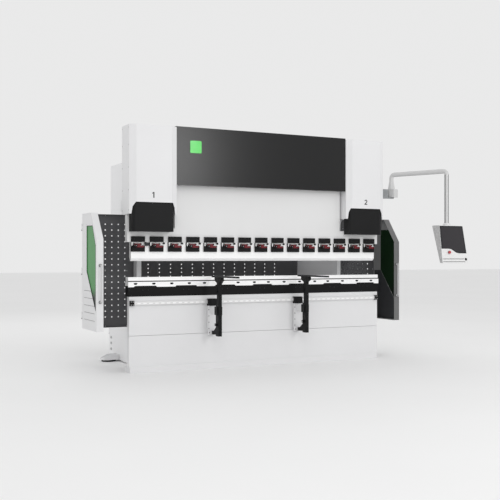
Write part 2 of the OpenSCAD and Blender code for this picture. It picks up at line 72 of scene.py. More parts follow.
def material(name, color, rough, metal=0.0, vary=0.04, patch=3.0, grain=600.0, bump=0.03,
             bump_mm=0.05, rough_vary=0.06, stretch=(1, 1, 1), coat=0.0, coat_rough=0.1, spec=0.5,
             transmission=0.0, alpha=1.0, edge=None):
    """A finish with slow colour variation, fine grain in roughness and bump, and worn or lit edges where asked."""
    m = bpy.data.materials.new(name)
    m.use_nodes = True
    nt = m.node_tree
    nt.nodes.clear()
    N, L = nt.nodes.new, nt.links.new
    out = N("ShaderNodeOutputMaterial")
    bsdf = N("ShaderNodeBsdfPrincipled")
    L(bsdf.outputs[0], out.inputs[0])
    bsdf.inputs["Metallic"].default_value = metal
    bsdf.inputs["Specular IOR Level"].default_value = spec
    bsdf.inputs["Coat Weight"].default_value = coat
    bsdf.inputs["Coat Roughness"].default_value = coat_rough
    bsdf.inputs["Transmission Weight"].default_value = transmission
    bsdf.inputs["Alpha"].default_value = alpha
    tc = N("ShaderNodeTexCoord")
    mp = N("ShaderNodeMapping")
    mp.inputs["Scale"].default_value = stretch
    L(tc.outputs["Object"], mp.inputs["Vector"])
    slow = N("ShaderNodeTexNoise")
    slow.inputs["Scale"].default_value = patch
    slow.inputs["Detail"].default_value = 5
    L(mp.outputs[0], slow.inputs["Vector"])
    fine = N("ShaderNodeTexNoise")
    fine.inputs["Scale"].default_value = grain
    fine.inputs["Detail"].default_value = 3
    L(mp.outputs[0], fine.inputs["Vector"])
    ramp = N("ShaderNodeValToRGB")
    ramp.color_ramp.elements[0].position = 0.3
    ramp.color_ramp.elements[1].position = 0.7
    ramp.color_ramp.elements[0].color = (*[max(0.0, c * (1 - vary)) for c in color], 1)
    ramp.color_ramp.elements[1].color = (*[min(1.0, c * (1 + vary)) for c in color], 1)
    L(slow.outputs["Fac"], ramp.inputs["Fac"])
    colour_out = ramp.outputs["Color"]
    if edge:
        geo = N("ShaderNodeNewGeometry")
        er = N("ShaderNodeValToRGB")
        er.color_ramp.elements[0].position = 0.53
        er.color_ramp.elements[1].position = 0.62
        L(geo.outputs["Pointiness"], er.inputs["Fac"])
        mix = N("ShaderNodeMix")
        mix.data_type = "RGBA"
        mix.inputs["B"].default_value = (*edge, 1)
        L(er.outputs["Color"], mix.inputs["Factor"])
        L(colour_out, mix.inputs["A"])
        colour_out = mix.outputs["Result"]
    L(colour_out, bsdf.inputs["Base Color"])
    mr = N("ShaderNodeMapRange")
    mr.inputs["From Min"].default_value = 0.3
    mr.inputs["From Max"].default_value = 0.7
    mr.inputs["To Min"].default_value = max(0.02, rough - rough_vary)
    mr.inputs["To Max"].default_value = min(1.0, rough + rough_vary)
    L(fine.outputs["Fac"], mr.inputs["Value"])
    L(mr.outputs["Result"], bsdf.inputs["Roughness"])
    bp = N("ShaderNodeBump")
    bp.inputs["Strength"].default_value = bump
    bp.inputs["Distance"].default_value = bump_mm / 1000.0
    L(fine.outputs["Fac"], bp.inputs["Height"])
    L(bp.outputs["Normal"], bsdf.inputs["Normal"])
    return m


M = {
    "white": material("powder_white", srgb(228, 228, 229), 0.46, vary=0.012, patch=1.6, grain=420, bump=0.25, bump_mm=0.08, spec=0.4),
    "cover": material("cover_white", srgb(229, 229, 230), 0.42, vary=0.010, patch=1.6, grain=420, bump=0.25, bump_mm=0.08, spec=0.42),
    "frame": material("powder_light_grey", srgb(240, 240, 241), 0.5, vary=0.015, patch=1.8, grain=420, bump=0.25, bump_mm=0.08, spec=0.4),
    "ram": material("ram_grey_white", srgb(226, 226, 226), 0.5, vary=0.015, patch=1.2, grain=380, bump=0.25, bump_mm=0.08, spec=0.35),
    "black": material("black_satin", srgb(20, 20, 21), 0.5, vary=0.12, patch=5, grain=500, bump=0.3, bump_mm=0.06, spec=0.16),
    "cover_black": material("rod_cover_black", srgb(22, 22, 23), 0.5, vary=0.06, patch=3, grain=500, bump=0.25, bump_mm=0.06, spec=0.18),
    "crown": material("blackened_steel", srgb(18, 18, 19), 0.46, vary=0.16, patch=4, grain=300, bump=0.3, bump_mm=0.06,
                      stretch=(0.15, 1, 1), spec=0.14),
    "fascia": material("fascia_gloss", srgb(16, 16, 17), 0.24, vary=0.05, patch=2, grain=200, bump=0.04, bump_mm=0.02,
                       rough_vary=0.02, spec=0.34),
    "green": material("green_plate", srgb(84, 214, 92), 0.34, vary=0.04, patch=12, grain=500, bump=0.1, coat=0.3, spec=0.3),
    "sheet": material("dark_sheet", srgb(100, 100, 102), 0.55, vary=0.08, patch=4, grain=700, bump=0.35, bump_mm=0.06, spec=0.2),
    "bracket": material("dark_bracket", srgb(152, 154, 156), 0.5, vary=0.08, patch=8, grain=500, bump=0.3, spec=0.3),
    "steel": material("ground_steel", (0.74, 0.745, 0.75), 0.3, metal=1.0, vary=0.05, patch=9, grain=260, bump=0.12,
                      stretch=(0.04, 1, 1), rough_vary=0.09),
    "die": material("nickelled_die", srgb(250), 0.4, metal=0.12, vary=0.03, patch=6, grain=260, bump=0.12,
                    stretch=(0.04, 1, 1), rough_vary=0.08),
    "rail": material("rail_aluminium", srgb(226), 0.42, metal=0.3, vary=0.04, patch=8, grain=300, bump=0.15,
                     stretch=(0.04, 1, 1)),
    "chrome": material("hard_chrome", (0.78, 0.79, 0.8), 0.1, metal=1.0, vary=0.02, patch=20, grain=700, bump=0.02,
                       stretch=(1, 1, 0.1), rough_vary=0.04),
    "hyd": material("hydraulic_grey", srgb(98, 102, 108), 0.45, vary=0.08, patch=8, grain=260, bump=0.35, bump_mm=0.2),
    "block": material("zinc_block", srgb(170, 172, 174), 0.36, metal=0.7, vary=0.06, patch=12, grain=320, bump=0.2),
    "pipe": material("zinc_pipe", srgb(186, 188, 190), 0.28, metal=0.9, vary=0.05, patch=14, grain=320, bump=0.08),
    "tank": material("tank_grey", srgb(88, 92, 98), 0.5, vary=0.08, patch=3, grain=380, bump=0.3),
    "motor": material("motor_blue_grey", srgb(70, 92, 116), 0.5, vary=0.09, patch=10, grain=260, bump=0.4, bump_mm=0.25),
    "alu": material("anodised_aluminium", (0.72, 0.725, 0.73), 0.34, metal=0.95, vary=0.03, patch=6, grain=320,
                    stretch=(0.05, 1, 1), bump=0.1),
    "lever": material("lever_red", srgb(106, 10, 24), 0.34, vary=0.10, patch=30, grain=500, bump=0.1, coat=0.2, spec=0.3),
    "handle": material("handle_satin", srgb(206), 0.34, metal=0.6, vary=0.04, patch=20, grain=400, bump=0.1,
                       stretch=(1, 1, 0.08)),
    "tube": material("pendant_tube_white", srgb(204), 0.3, vary=0.015, patch=4, grain=420, bump=0.15, coat=0.25),
    "case": material("moulded_white", srgb(228), 0.5, vary=0.012, patch=5, grain=900, bump=0.45, bump_mm=0.05, spec=0.35),
    "case_grey": material("moulded_grey_side", srgb(196), 0.55, vary=0.02, patch=5, grain=900, bump=0.45, bump_mm=0.05, spec=0.3),
    "screen": material("screen_glass", srgb(46, 46, 48), 0.34, vary=0.03, patch=6, grain=300, bump=0.02,
                       rough_vary=0.03, spec=0.14),
    "display": material("display_panel", srgb(50, 48, 51), 0.28, vary=0.03, patch=6, grain=300, bump=0.02,
                        rough_vary=0.02, spec=0.16),
    "estop": material("estop_red", srgb(172, 18, 32), 0.3, vary=0.05, patch=60, grain=500, bump=0.08, coat=0.3),
    "rubber": material("rubber_black", srgb(26), 0.75, vary=0.1, patch=20, grain=500, bump=0.5, bump_mm=0.15, spec=0.2),
    "oxide": material("black_oxide_screw", srgb(34, 34, 36), 0.42, metal=0.3, vary=0.14, patch=60, grain=900, bump=0.2, spec=0.3),
    "zinc": material("zinc_screw", srgb(196, 197, 196), 0.32, metal=0.85, vary=0.07, patch=60, grain=900, bump=0.15),
    "wedge": material("polished_wedge", srgb(250), 0.3, metal=0.2, vary=0.02, patch=40, grain=700, bump=0.06),
    "mark": material("print_black", srgb(40), 0.5, vary=0.05, patch=60, grain=700, bump=0.05, spec=0.25),
    "scale": material("scale_white", srgb(252), 0.4, vary=0.015, patch=40, grain=700, bump=0.05),
    # dark grey for real slots and wear strips, and for strips of painted shade and painted reflection
    "groove_and_shade": material("groove_and_shade_grey", srgb(62, 63, 65), 0.5, vary=0.06, patch=20, grain=500, bump=0.1, spec=0.25),
    "plastic": material("grey_plastic", srgb(150, 152, 154), 0.5, vary=0.04, patch=40, grain=900, bump=0.35, bump_mm=0.05),
    "dark_plastic": material("dark_plastic", srgb(48, 49, 51), 0.48, vary=0.06, patch=40, grain=900, bump=0.35, bump_mm=0.05, spec=0.3),
    "galv": material("galvanised_plate", srgb(178, 182, 184), 0.38, metal=0.75, vary=0.10, patch=26, grain=300, bump=0.2),
    "duct": material("wiring_duct_grey", srgb(164, 168, 170), 0.6, vary=0.03, patch=20, grain=600, bump=0.2),
    "brass": material("brass_fitting", srgb(198, 164, 92), 0.32, metal=0.9, vary=0.06, patch=50, grain=600, bump=0.12),
    # the guard doors' insides are painted grey as painted shade
    "door_inner_shade": material("door_inner_painted_shade", srgb(150), 0.55, vary=0.02, patch=2, grain=420, bump=0.25, bump_mm=0.08, spec=0.3),
    # the right door's front return is painted mid grey as painted shade
    "door_front_shade": material("door_front_painted_shade", srgb(112), 0.5, vary=0.03, patch=2, grain=420, bump=0.25, bump_mm=0.08, spec=0.25),
    "sight": material("sight_glass_amber", srgb(214, 158, 60), 0.16, vary=0.08, patch=30, grain=300, bump=0.03, coat=0.4),
}


def window_material(name, top, low, z0, z1, rough, spec):
    """Tinted acrylic with slow streaks and fine scratches, darker towards the bottom as a painted reflection of dark
    ground.
    """
    m = material(name, srgb(*top), rough, vary=0.05, patch=5, grain=160, bump=0.04, rough_vary=0.03, spec=spec)
    nt = m.node_tree
    N, L = nt.nodes.new, nt.links.new
    bsdf = next(n for n in nt.nodes if n.type == "BSDF_PRINCIPLED")
    old = bsdf.inputs["Base Color"].links[0].from_socket
    tc = next(n for n in nt.nodes if n.type == "TEX_COORD")
    sep = N("ShaderNodeSeparateXYZ")
    L(tc.outputs["Object"], sep.inputs[0])
    mr = N("ShaderNodeMapRange")
    mr.interpolation_type = "SMOOTHSTEP"
    mr.inputs["From Min"].default_value = z0
    mr.inputs["From Max"].default_value = z1
    L(sep.outputs["Z"], mr.inputs["Value"])
    mix = N("ShaderNodeMix")
    mix.data_type = "RGBA"
    mix.inputs["A"].default_value = (*srgb(*low), 1)
    L(mr.outputs["Result"], mix.inputs["Factor"])
    L(old, mix.inputs["B"])
    L(mix.outputs["Result"], bsdf.inputs["Base Color"])
    return m


# the outside copy is the lit acrylic; the inside copy is the same acrylic painted darker as painted shade
M["win_lit"] = window_material("acrylic_green_outside_lit", (62, 140, 70), (14, 24, 16), 0.80, 0.93, 0.3, 0.22)
M["win_shaded"] = window_material("acrylic_green_inside_painted_shade", (22, 44, 24), (12, 18, 13), 0.70, 1.0, 0.3, 0.12)

LOOK = {
    "white": ["bed_plate", "bed_apron", "base_beam", "left_guard_door", "right_guard_door", "cabinet_door"],
    "cover": ["left_column_cover", "right_column_cover"],
    "ram": ["ram_plate"],
    "frame": ["left_side_frame", "right_side_frame", "top_beam", "rear_beam", "electrical_cabinet", "rear_feet"],
    "black": ["clamp_plates", "clamp_blocks", "left_support_carriage",
              "right_support_carriage", "left_support_arm", "right_support_arm", "left_support_knob",
              "right_support_knob", "die_screws"],
    "cover_black": ["left_rod_cover", "right_rod_cover"],
    "crown": ["crown_beam"],
    "fascia": ["top_fascia"],
    "green": ["fascia_plate"],
    "sheet": ["left_guard_panel", "right_guard_panel", "rear_guard"],
    "bracket": ["pendant_bracket"],
    "steel": ["ball_screw", "left_finger", "right_finger"],
    "die": ["punch", "lower_die", "die_holder", "tool_holder"],
    "rail": ["front_rail"],
    "chrome": ["piston_rods"],
    "hyd": ["cylinders"],
    "block": ["valve_blocks"],
    "pipe": ["hydraulic_pipes"],
    "tank": ["oil_tank", "gauge_rails", "gauge_carriage"],
    "motor": ["pump_motor", "gauge_motor"],
    "alu": ["gauge_beam"],
    "lever": ["clamp_levers"],
    "win_lit": ["left_guard_window", "right_guard_window"],
    "handle": ["left_guard_handle", "right_guard_handle"],
    "tube": ["pendant_arm"],
    "case": ["pendant_head"],
    "screen": ["pendant_screen"],
    "estop": ["estop_button"],
}
for key, names in LOOK.items():
    for n in names:
        NODES[n].data.materials.clear()
        NODES[n].data.materials.append(M[key])
unpainted = sorted(set(NODES) - {n for names in LOOK.values() for n in names})
if unpainted:
    raise RuntimeError("no finish for " + ", ".join(unpainted))


def repaint(node, key, test):
    """A second finish on those faces of a CAD node whose middle, in millimetres with y = 0 on the bed, passes the test."""
    me = NODES[node].data
    me.materials.append(M[key])
    k = len(me.materials) - 1
    mw = NODES[node].matrix_world
    for p in me.polygons:
        c = mw @ p.center
        n = (mw.to_3x3() @ p.normal).normalized()
        if test(c.x * 1000, c.y * 1000 + Y0, c.z * 1000, n):
            p.material_index = k


LEFT_SUP = sum(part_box("left_support_arm")[i][0] for i in (0, 1)) * 500
RIGHT_SUP = sum(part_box("right_support_arm")[i][0] for i in (0, 1)) * 500
# the arm's box also holds its pin on the left, 29 mm out, against 20 mm on the right
LEFT_SUP += 4.5
RIGHT_SUP += 4.5


def support_white(xc):
    def test(x, y, z, n):
        x -= xc
        if z > 705.5 or y < -169.5:
            return False
        if 609 < z < 701 and abs(x) < 15.6 and -172.5 < y < -35:
            return True
        if z < 490 and abs(x) < 15.6 and y < -37:
            return False
        if 395.5 < z < 419.5 and min(math.hypot(x + 20, y + 15.5), math.hypot(x - 18, y + 15.5)) < 15.4:
            return False
        return True
    return test


repaint("left_support_carriage", "white", support_white(LEFT_SUP))
repaint("right_support_carriage", "white", support_white(RIGHT_SUP))
repaint("rear_feet", "rubber", lambda x, y, z, n: z < 12.5)
repaint("front_rail", "black", lambda x, y, z, n: abs(x) > 1548.5)
# the windows' inward faces take the painted-shade copy of the acrylic
repaint("left_guard_window", "win_shaded", lambda x, y, z, n: n.x > 0.5)
repaint("right_guard_window", "win_shaded", lambda x, y, z, n: n.x < -0.5)
def door_inside(sg):
    """The inside of a guard door, painted grey as painted shade: its back, and the returns' faces that look at its
    middle.
    """
    return lambda x, y, z, n: sg * n.x < -0.5 or (abs(x) < 1941 and n.y * (300 - y) + n.z * (1000 - z) > 0)


# the right door's front return is painted mid grey as painted shade
repaint("right_guard_door", "door_front_shade", lambda x, y, z, n: n.y < -0.3 and abs(x) > 1870 and y < 250 and x > 0)
# the doors' insides are painted grey as painted shade
repaint("left_guard_door", "door_inner_shade", door_inside(-1))
repaint("right_guard_door", "door_inner_shade", door_inside(1))
repaint("pendant_head", "case_grey", lambda x, y, z, n: abs(n.x) > 0.7)

# ---------------------------------------------------------------- small pieces
class Shape:
    """Solids gathered into one mesh, drawn in millimetres with y = 0 on the bed's front face."""

    def __init__(self):
        self.bm = bmesh.new()

    def prism(self, axis, a, b, pts):
        """An outline of the two other coordinates, carried from a to b along the axis."""
        place = {"x": lambda u, v, t: P(t, u, v), "y": lambda u, v, t: P(u, t, v), "z": lambda u, v, t: P(u, v, t)}[axis]
        lo = [self.bm.verts.new(place(u, v, a)) for u, v in pts]
        hi = [self.bm.verts.new(place(u, v, b)) for u, v in pts]
        self.bm.faces.new(lo[::-1])
        self.bm.faces.new(hi)
        for i in range(len(pts)):
            j = (i + 1) % len(pts)
            self.bm.faces.new((lo[i], lo[j], hi[j], hi[i]))
        return self

    def block(self, x0, x1, y0, y1, z0, z1, cut=1.5, axis="y"):
        """A block whose four edges along the axis are cut at 45 degrees."""
        u0, u1, v0, v1, a, b = {"x": (y0, y1, z0, z1, x0, x1), "y": (x0, x1, z0, z1, y0, y1), "z": (x0, x1, y0, y1, z0, z1)}[axis]
        c = min(cut, (u1 - u0) / 2.2, (v1 - v0) / 2.2)
        return self.prism(axis, a, b, [(u0 + c, v0), (u1 - c, v0), (u1, v0 + c), (u1, v1 - c), (u1 - c, v1), (u0 + c, v1),
                                       (u0, v1 - c), (u0, v0 + c)])

    def turn(self, o, d, rings, seg=24, ring=False):
        """Rings (way along d, radius) round the axis; a third item makes the ring a hexagon. ring=True closes the last onto the first."""
        d = Vector(d).normalized()
        u = d.orthogonal().normalized()
        v = d.cross(u)
        o = Vector(o)
        loops = []
        for it in rings:
            loop = []
            for i in range(seg):
                a = 2 * math.pi * i / seg
                r = it[1]
                if len(it) > 2:
                    r *= math.cos(math.pi / 6) / math.cos(a % (math.pi / 3) - math.pi / 6)
                loop.append(self.bm.verts.new(P(*(o + d * it[0] + (u * math.cos(a) + v * math.sin(a)) * r))))
            loops.append(loop)
        pairs = list(zip(loops, loops[1:]))
        if ring:
            pairs.append((loops[-1], loops[0]))
        else:
            self.bm.faces.new(loops[0][::-1])
            self.bm.faces.new(loops[-1])
        for A, B in pairs:
            for i in range(seg):
                j = (i + 1) % seg
                self.bm.faces.new((A[i], A[j], B[j], B[i]))
        return self

    def socket(self, o, d, r, h=None):
        """Cap screw with a hexagon socket; o is under the head, d points out of it."""
        h = h or r * 1.15
        return self.turn(o, d, [(0, r), (h - 0.12 * r, r), (h, r * 0.88), (h, r * 0.52, 1), (h * 0.45, r * 0.5, 1)])

    def hexnut(self, o, d, r, h=None, washer=True, stud=0.0):
        h = h or r * 0.8
        rings = []
        if washer:
            rings += [(0, r * 1.35), (r * 0.14, r * 1.35), (r * 0.14, r * 0.98)]
            base = r * 0.14
        else:
            rings += [(0, r * 0.98)]
            base = 0
        rings += [(base, r, 1), (base + h * 0.86, r, 1), (base + h, r * 0.84)]
        if stud:
            rings += [(base + h, r * 0.5), (base + h + stud * 0.85, r * 0.5), (base + h + stud, r * 0.42)]
        return self.turn(o, d, rings)

    def dome(self, o, d, r):
        return self.turn(o, d, [(0, r), (r * 0.18, r), (r * 0.42, r * 0.8), (r * 0.55, r * 0.5), (r * 0.58, r * 0.2)], 16)

    def tube(self, pts, r, seg=12):
        pts = [Vector(p) for p in pts]
        n = len(pts)
        u = None
        loops = []
        for i in range(n):
            d = (pts[min(i + 1, n - 1)] - pts[max(i - 1, 0)]).normalized()
            u = d.orthogonal().normalized() if u is None else (u - d * u.dot(d)).normalized()
            v = d.cross(u)
            loops.append([self.bm.verts.new(P(*(pts[i] + (u * math.cos(2 * math.pi * k / seg) + v * math.sin(2 * math.pi * k / seg)) * r)))
                          for k in range(seg)])
        self.bm.faces.new(loops[0][::-1])
        self.bm.faces.new(loops[-1])
        for A, B in zip(loops, loops[1:]):
            for k in range(seg):
                j = (k + 1) % seg
                self.bm.faces.new((A[k], A[j], B[j], B[k]))
        return self

    def path(self, pts, w, axis="y", a=0.0, b=1.0):
        """A flat stroke of width w along a line of points, carried from a to b along the axis."""
        q = [Vector(p) for p in pts]
        left, right = [], []
        for i in range(len(q)):
            t = (q[min(i + 1, len(q) - 1)] - q[max(i - 1, 0)]).normalized()
            n = Vector((-t.y, t.x))
            left.append(tuple(q[i] + n * w / 2))
            right.append(tuple(q[i] - n * w / 2))
        for i in range(len(q) - 1):
            self.prism(axis, a, b, [left[i], left[i + 1], right[i + 1], right[i]])
        return self

    def put(self, name, body, mat, bevel=0.0, angle=35):
        bmesh.ops.recalc_face_normals(self.bm, faces=self.bm.faces)
        me = bpy.data.meshes.new(name)
        self.bm.to_mesh(me)
        self.bm.free()
        for p in me.polygons:
            p.use_smooth = True
        me.set_sharp_from_angle(angle=math.radians(angle))
        me.materials.append(M[mat])
        ob = bpy.data.objects.new(name, me)
        bpy.context.scene.collection.objects.link(ob)
        if bevel:
            mod = ob.modifiers.new("edge", "BEVEL")
            mod.width = bevel / 1000
            mod.segments = 2
            mod.limit_method = "ANGLE"
            mod.angle_limit = math.radians(50)
        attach(ob, body)
        return ob


def clamp_c(k):
    return (k - 7) * 213.014 - 5


def screw_x(k):
    return -1531 + 803.7 * (k // 4) + 207.3 * (k % 4)


# the die holder's faces round the screw recesses are painted black as painted shade in the holes
repaint("die_holder", "black", lambda x, y, z, n: -11.9 < y < 19 and 946 < z < 970
        and any(abs(x - screw_x(k)) < 22.5 for k in range(16)))

# clamps: cap screws in the plates, bright wedges beside the blocks
s = Shape()
for k in range(15):
    for x in (-45, 45):
        s.socket((clamp_c(k) + x, 7.9, 1439), (0, -1, 0), 7.4, 6.6)
s.put("clamp_screws", "ram", "oxide")
s = Shape()
for k in range(15):
    c = clamp_c(k)
    s.prism("y", 12.4, 29.5, [(c - 72.6, 1361.4), (c - 70.8, 1361.4), (c - 58.5, 1374.2), (c - 58.5, 1402), (c - 60.5, 1404), (c - 72.6, 1404)])
s.put("clamp_wedges", "ram", "wedge", 0.6)
s = Shape()
for k in range(15):
    c = clamp_c(k)
    for x in (-62, 62):
        s.socket((c + x, 8.2, 1322 if x < 0 else 1330), (0, -1, 0), 5.2, 4.6)
s.put("clamp_block_screws", "ram", "oxide")
s = Shape()
for k in range(15):
    s.turn((clamp_c(k) + 87.4, 18, 1396), (0, -1, 0), [(0, 11.6), (3.2, 11.6), (4.2, 10.4), (4.2, 4.2, 1), (2.0, 4.0, 1)])
s.put("clamp_dot_caps", "ram", "rubber")
# the ends of the ram rise behind the rod covers
s = Shape()
for sg in (-1, 1):
    s.prism("y", 20.3, 89.7, [(sg * 1500, 1559.5), (sg * 1614.6, 1559.5), (sg * 1614.6, 1716), (sg * 1602, 1730), (sg * 1540, 1730), (sg * 1500, 1680)])
s.put("ram_end_plates", "ram", "ram", 1.0)
# a black lug over the left end of each lever, with a small bright screw in it
s = Shape()
for k in range(15):
    c = clamp_c(k)
    s.prism("y", -14.2, -11.9, [(c - 56, 1358), (c - 44, 1372), (c - 34, 1384), (c - 16, 1386), (c - 12, 1370), (c - 16, 1352), (c - 44, 1351)])
s.put("lever_lugs", "levers", "black", 0.5)
s = Shape()
for k in range(15):
    s.socket((clamp_c(k) - 28, -14.1, 1368), (0, -1, 0), 3.6, 2.6)
s.put("lever_lug_screws", "levers", "zinc")
s = Shape()
s.block(-1416, -1369, 7, 17.4, 1367, 1402, 4)
s.socket((-1404, 7, 1384.5), (0, -1, 0), 5, 4).socket((-1381, 7, 1384.5), (0, -1, 0), 5, 4)
s.put("tool_sensor", "ram", "dark_plastic", 0.8)
s = Shape()
for k in range(15):
    c = clamp_c(k)
    for x in (-53, 24):
        s.turn((c + x + (0 if x < 0 else 8), -7, 1386), (-1 if x < 0 else 1, 0, 0), [(2.0, 4.6), (4.2, 4.6), (5.0, 3.8), (5.0, 1.6), (4.4, 1.6)], 16)
s.put("lever_pin_heads", "levers", "zinc")
# a raised rib and a thumb pad along each lever
s = Shape()
for k in range(15):
    c = clamp_c(k)
    s.prism("y", -13.2, -11.9, [(c - 26, 1364), (c - 20, 1358), (c + 26, 1357), (c + 40, 1361), (c + 36, 1366), (c + 20, 1369), (c - 18, 1370)])
s.put("lever_ribs", "levers", "lever", 0.5)

# rail: slot covers in a row, screws in the end blocks
s = Shape()
for i in range(45):
    x = -1496 + 68 * i
    s.prism("y", -22.6, -21.4, [(x - 21, 746.5), (x - 17, 741.5), (x + 17, 741.5), (x + 21, 746.5), (x + 17, 751.5), (x - 17, 751.5)])
s.put("rail_slot_covers", "frame", "scale")
s = Shape()
for sg in (-1, 1):
    for x in (1562, 1584):
        for z in (733, 766):
            s.socket((sg * x, -29.9, z), (0, -1, 0), 4.6, 3.6)
s.put("rail_end_screws", "frame", "zinc")
# a black strip filling the die's step, painted shade in that recess
s = Shape()
s.prism("x", -1609, 1609, [(3, 980), (4.5, 979.3), (21.4, 979.3), (21.4, 989.5), (4.5, 989.5), (3, 988.5)])
s.put("die_step_painted_shade_strip", "frame", "rubber")
# crown adjusters' cap screws under the die holder
s = Shape()
for x in (-1416, -944, -472, 0, 472, 944, 1416):
    for dx in (-30, 30):
        s.socket((x + dx, -3.9, 890), (0, -1, 0), 6.5, 5)
s.put("crown_screws", "frame", "oxide")

# the two column numbers
s = Shape()
s.prism("y", -122.9, -121.8, [(-1369.5, 1879), (-1357.5, 1879), (-1357.5, 1940.5), (-1366, 1940.5), (-1381, 1932), (-1381, 1921.5), (-1369.5, 1927)])
s.put("column_number_one", "frame", "mark")
s = Shape()
arc = [(1352 + 14.5 * math.cos(math.radians(a)), 1921.5 + 13.8 * math.sin(math.radians(a))) for a in range(170, -31, -20)]
s.path(arc + [(1352 + 8.5, 1908), (1352 - 2, 1897.5), (1352 - 14, 1887.6)], 10.5, "y", -122.9, -121.8)
s.prism("y", -122.95, -121.8, [(1333, 1879), (1371.5, 1879), (1371.5, 1888.6), (1333, 1888.6)])
s.put("column_number_two", "frame", "mark")

# column covers: screws along the sides and the back edges, and on the top lids
s = Shape()
for sg in (-1, 1):
    for z in (1745, 1960, 2200, 2440, 2625):
        for y in (-66, 142):
            s.dome((sg * 1626.9, y, z), (sg, 0, 0), 6.5)
    for x in (1130, 1360, 1586):
        for y in (-60, 130):
            s.dome((sg * x, y, 2656.9), (0, 0, 1), 6.5)
s.put("cover_screws", "frame", "zinc")
s = Shape()
for sg in (-1, 1):
    for y in (-70, 4):
        for z in (1560, 1760, 1960):
            s.dome((sg * 1593.9, y, z), (sg, 0, 0), 5.5)
s.put("rod_cover_screws", "ram", "oxide")
s = Shape()
for x in (-1050, -700, -350, 0, 350, 700, 1050):
    s.dome((x, -50, 2034.1), (0, 0, -1), 6)
s.put("fascia_screws", "frame", "oxide")

# front supports
for side_, xc in (("left", LEFT_SUP), ("right", RIGHT_SUP)):
    s = Shape()
    for x in (-36, 36):
        for z in (716, 772):
            s.socket((xc + x, -61.9, z), (0, -1, 0), 5.6, 4.6)
    for x in (-24, 24):
        for z in (626, 684):
            s.socket((xc + x * 1.0, -237.9, z), (0, -1, 0), 3.6, 3)
    for z in (450, 520, 590, 660):
        s.socket((xc - 40, -35.9, z), (0, -1, 0), 4.6, 3.6)
    for x in (-42, -6, 32):
        s.socket((xc + x, -59.9, 405), (0, -1, 0), 4.6, 3.8)
    s.put(side_ + "_carriage_screws", side_ + "_carriage", "oxide")
    s = Shape()
    for z in (406, 452, 560, 606, 752, 812, 932):
        s.socket((xc, -254.9, z), (0, -1, 0), 5.2, 4.2)
    for y in (-660, -600, -400, -200, -90):
        s.turn((xc, y, 1038.9), (0, 0, 1), [(0, 6.4), (0.9, 6.2), (1.1, 5.6), (1.1, 3.0, 1), (0.2, 2.9, 1)])
    s.put(side_ + "_arm_screws", side_ + "_arm", "oxide")
    s = Shape()
    # wear strips on the bar's sides
    for y0_, y1_ in ((-690, -560), (-550, -420), (-410, -280), (-270, -140)):
        s.block(xc - 20.9, xc - 19.6, y0_, y1_, 1025, 1035, 2, "x")
        s.block(xc + 19.6, xc + 20.9, y0_, y1_, 1025, 1035, 2, "x")
    s.put(side_ + "_arm_strips", side_ + "_arm", "groove_and_shade")
    s = Shape()
    s.turn((xc - 48.1, -218, 505), (-1, 0, 0), [(0, 9), (1.6, 9), (2.2, 8.4), (2.2, 4.2), (1.6, 4.0)])
    s.turn((xc - 50.2, -218, 505), (-1, 0, 0), [(0, 2.6), (0.6, 2.4)], 12)
    s.put(side_ + "_knob_cap", side_ + "_knob", "zinc")

# guards: window gaskets, rivets, hinge pins, panel screws
WIN = [(394, 1585), (171, 1580), (55, 1365), (55, 677), (394, 1089)]


def along(pts, step, close=True):
    out = []
    q = pts + ([pts[0]] if close else [])
    for (a, b), (c_, d) in zip(q, q[1:]):
        n = max(1, round(math.hypot(c_ - a, d - b) / step))
        out += [(a + (c_ - a) * i / n, b + (d - b) * i / n) for i in range(n)]
    return out


